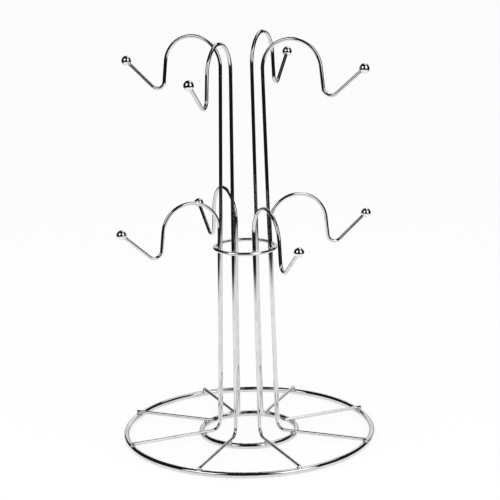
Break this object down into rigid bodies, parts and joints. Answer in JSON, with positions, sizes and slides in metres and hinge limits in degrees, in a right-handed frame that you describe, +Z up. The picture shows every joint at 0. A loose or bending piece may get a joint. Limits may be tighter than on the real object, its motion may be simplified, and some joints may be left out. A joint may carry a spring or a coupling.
{
  "type": "mug tree",
  "caption": "Free-standing chrome wire mug tree: two tiers of arched hooks with ball tips on a round two-ring base, tied by a collar ring.",
  "frame": {"origin": "centre of the base on the table, midway between the rings' lowest points", "axes": "+Z up along the middle of the stand; the front is -Y; angles run counter-clockwise from +X"},
  "size_m": [0.22, 0.22, 0.3485],
  "materials": {
    "chrome_wire": "bright chrome plate on 3 mm round steel wire",
    "chrome_ring": "bright chrome plate on 5 mm round steel wire",
    "chrome_ball": "bright chrome plate, polished",
    "weld_bead": "chrome plate over a small weld bead, a little rougher"
  },
  "bodies": {
    "root": {"upper_wire_1": "chrome_wire", "upper_wire_2": "chrome_wire", "upper_wire_3": "chrome_wire", "upper_wire_4": "chrome_wire", "lower_wire_1": "chrome_wire", "lower_wire_2": "chrome_wire", "lower_wire_3": "chrome_wire", "lower_wire_4": "chrome_wire", "upper_ball_1": "chrome_ball", "upper_ball_2": "chrome_ball", "upper_ball_3": "chrome_ball", "upper_ball_4": "chrome_ball", "lower_ball_1": "chrome_ball", "lower_ball_2": "chrome_ball", "lower_ball_3": "chrome_ball", "lower_ball_4": "chrome_ball", "outer_base_ring": "chrome_ring", "inner_base_ring": "chrome_ring", "collar_ring": "chrome_wire", "outer_ring_welds": "weld_bead", "inner_ring_welds": "weld_bead", "collar_welds": "weld_bead"}
  },
  "joints": []
}
